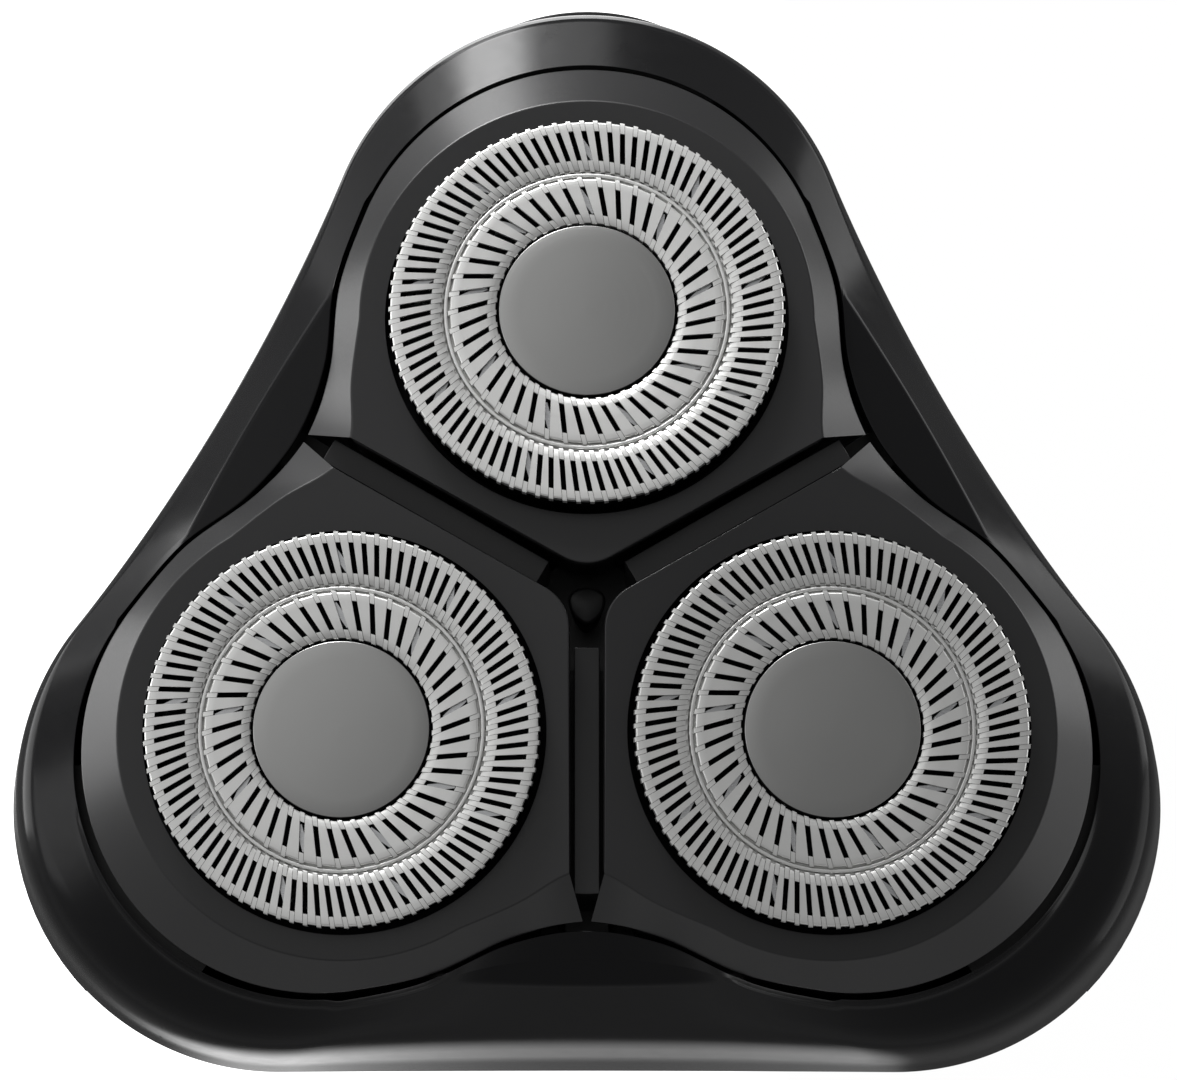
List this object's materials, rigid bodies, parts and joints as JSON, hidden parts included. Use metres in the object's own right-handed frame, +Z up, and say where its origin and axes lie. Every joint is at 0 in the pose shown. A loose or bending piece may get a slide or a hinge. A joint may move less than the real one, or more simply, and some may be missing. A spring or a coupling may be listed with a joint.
{
  "type": "rotary electric shaver",
  "caption": "Upright rotary electric shaver: tilted three-lobed head with slotted round steel guards in floating holders, over an oval gripped handle.",
  "frame": {"origin": "on the resting plane, under the middle of the overall box", "axes": "+Z up along the handle, -Y the front with the power button and release tab, +X to the right seen from behind the handle"},
  "size_m": [0.062, 0.0578, 0.1527],
  "materials": {
    "frame_gloss": "gloss black moulded plastic",
    "holder_satin": "satin dark grey-black moulded plastic",
    "guard_steel": "finely turned stainless steel",
    "cap_steel": "satin grey disc, bare",
    "inner_steel": "ground steel",
    "clip_plastic": "black moulded plastic",
    "bracket_plastic": "satin dark grey moulded plastic",
    "gear_plastic": "natural acetal",
    "spring_steel": "drawn spring steel",
    "bowl_plastic": "satin dark grey moulded plastic",
    "seal_rubber": "soft black rubber",
    "tab_plastic": "satin black moulded plastic",
    "collar_plastic": "gloss black",
    "shell_plastic": "satin black moulded plastic",
    "grip_rubber": "over-moulded rubber",
    "screw_steel": "zinc-plated steel",
    "chassis_plastic": "grey moulded plastic",
    "motor_steel": "plated motor can",
    "cell_wrap": "blue shrink wrap",
    "contact_nickel": "nickel strip",
    "board_green": "green solder mask",
    "pipe_clear": "clear acrylic",
    "button_plastic": "gloss black",
    "ring_chrome": "satin chrome trim",
    "window_tint": "dark tinted window",
    "socket_metal": "stainless socket shell"
  },
  "bodies": {
    "handle": {"head_base": "bowl_plastic", "neck_collar": "collar_plastic", "gearbox_deck": "chassis_plastic", "gearbox_plate": "chassis_plastic", "deck_screws": "screw_steel", "chamber_seal": "seal_rubber", "hinge_pin": "screw_steel", "front_shell": "shell_plastic", "rear_shell": "shell_plastic", "bottom_cap": "shell_plastic", "side_grip_left": "grip_rubber", "side_grip_right": "grip_rubber", "case_screws": "screw_steel", "chassis": "chassis_plastic", "motor": "motor_steel", "battery": "cell_wrap", "battery_contacts": "contact_nickel", "circuit_board": "board_green", "switch_dome": "contact_nickel", "light_pipe": "pipe_clear", "button_ring": "ring_chrome", "display_window": "window_tint", "charging_socket": "socket_metal", "socket_seal": "seal_rubber"},
    "shaving_unit": {"head_frame": "frame_gloss", "retaining_bracket": "bracket_plastic", "centre_post": "bracket_plastic"},
    "floating_head_front": {"head_holder_front": "holder_satin", "guard_front": "guard_steel", "guard_cap_front": "cap_steel", "guard_clip_front": "clip_plastic"},
    "cutter_head_front": {"cutter_front": "inner_steel"},
    "spindle_front": {"drive_gear_front": "gear_plastic", "drive_spindle_front": "gear_plastic", "spindle_spring_front": "spring_steel"},
    "floating_head_right": {"head_holder_right": "holder_satin", "guard_right": "guard_steel", "guard_cap_right": "cap_steel", "guard_clip_right": "clip_plastic"},
    "cutter_head_right": {"cutter_right": "inner_steel"},
    "spindle_right": {"drive_gear_right": "gear_plastic", "drive_spindle_right": "gear_plastic", "spindle_spring_right": "spring_steel"},
    "floating_head_left": {"head_holder_left": "holder_satin", "guard_left": "guard_steel", "guard_cap_left": "cap_steel", "guard_clip_left": "clip_plastic"},
    "cutter_head_left": {"cutter_left": "inner_steel"},
    "spindle_left": {"drive_gear_left": "gear_plastic", "drive_spindle_left": "gear_plastic", "spindle_spring_left": "spring_steel"},
    "pinion": {"drive_pinion": "gear_plastic"},
    "motor_rotor": {"motor_shaft": "inner_steel"},
    "release_tab": {"release_button": "tab_plastic", "release_spring": "spring_steel"},
    "power_key": {"power_button": "button_plastic"}
  },
  "joints": [
    {"name": "head_flip", "type": "hinge", "parent": "handle", "child": "shaving_unit", "pos_m": [0, 0.02555, 0.13803], "axis": [-1, 0, 0], "range_deg": [0, 95]},
    {"name": "holder_tilt_front", "type": "hinge", "parent": "shaving_unit", "child": "floating_head_front", "pos_m": [0, -0.01107, 0.1437], "axis": [1, 0, 0], "range_deg": [-3, 3], "stiffness_Nm_per_rad": 0.05},
    {"name": "cutter_spin_front", "type": "hinge", "parent": "floating_head_front", "child": "cutter_head_front", "pos_m": [0, -0.01208, 0.14758], "axis": [0, -0.2521, 0.9677], "continuous": true},
    {"name": "spindle_spin_front", "type": "hinge", "parent": "handle", "child": "spindle_front", "pos_m": [0, -0.008, 0.12575], "axis": [0, -0.1616, 0.9869], "continuous": true},
    {"name": "holder_tilt_right", "type": "hinge", "parent": "shaving_unit", "child": "floating_head_right", "pos_m": [0.01267, 0.01058, 0.14725], "axis": [-0.5, 0.8546, 0.14], "range_deg": [-3, 3], "stiffness_Nm_per_rad": 0.05},
    {"name": "cutter_spin_right", "type": "hinge", "parent": "floating_head_right", "child": "cutter_head_right", "pos_m": [0.01299, 0.01012, 0.15121], "axis": [0.08, -0.1153, 0.9901], "continuous": true},
    {"name": "spindle_spin_right", "type": "hinge", "parent": "handle", "child": "spindle_right", "pos_m": [0.01256, 0.01346, 0.12926], "axis": [0, -0.1616, 0.9869], "continuous": true},
    {"name": "holder_tilt_left", "type": "hinge", "parent": "shaving_unit", "child": "floating_head_left", "pos_m": [-0.01267, 0.01058, 0.14725], "axis": [-0.5, -0.8546, -0.14], "range_deg": [-3, 3], "stiffness_Nm_per_rad": 0.05},
    {"name": "cutter_spin_left", "type": "hinge", "parent": "floating_head_left", "child": "cutter_head_left", "pos_m": [-0.01299, 0.01012, 0.15121], "axis": [-0.08, -0.1153, 0.9901], "continuous": true},
    {"name": "spindle_spin_left", "type": "hinge", "parent": "handle", "child": "spindle_left", "pos_m": [-0.01256, 0.01346, 0.12926], "axis": [0, -0.1616, 0.9869], "continuous": true},
    {"name": "pinion_spin", "type": "hinge", "parent": "handle", "child": "pinion", "pos_m": [0, 0.00631, 0.12809], "axis": [0, -0.1616, 0.9869], "continuous": true},
    {"name": "motor_spin", "type": "hinge", "parent": "handle", "child": "motor_rotor", "pos_m": [0, 0.00805, 0.11], "axis": [0, 0, 1], "continuous": true},
    {"name": "release_press", "type": "slide", "parent": "handle", "child": "release_tab", "axis": [0, 0.9869, 0.1616], "range_m": [0, 0.0009], "stiffness_N_per_m": 400},
    {"name": "power_press", "type": "slide", "parent": "handle", "child": "power_key", "axis": [0, 1, 0], "range_m": [0, 0.0008], "stiffness_N_per_m": 500}
  ],
  "couplings": [
    {"joint": "cutter_spin_front", "follows": "spindle_spin_front", "ratio": 1},
    {"joint": "spindle_spin_right", "follows": "spindle_spin_front", "ratio": 1},
    {"joint": "cutter_spin_right", "follows": "spindle_spin_front", "ratio": 1},
    {"joint": "spindle_spin_left", "follows": "spindle_spin_front", "ratio": 1},
    {"joint": "cutter_spin_left", "follows": "spindle_spin_front", "ratio": 1},
    {"joint": "pinion_spin", "follows": "spindle_spin_front", "ratio": -2.2222},
    {"joint": "motor_spin", "follows": "spindle_spin_front", "ratio": -2.2222}
  ]
}
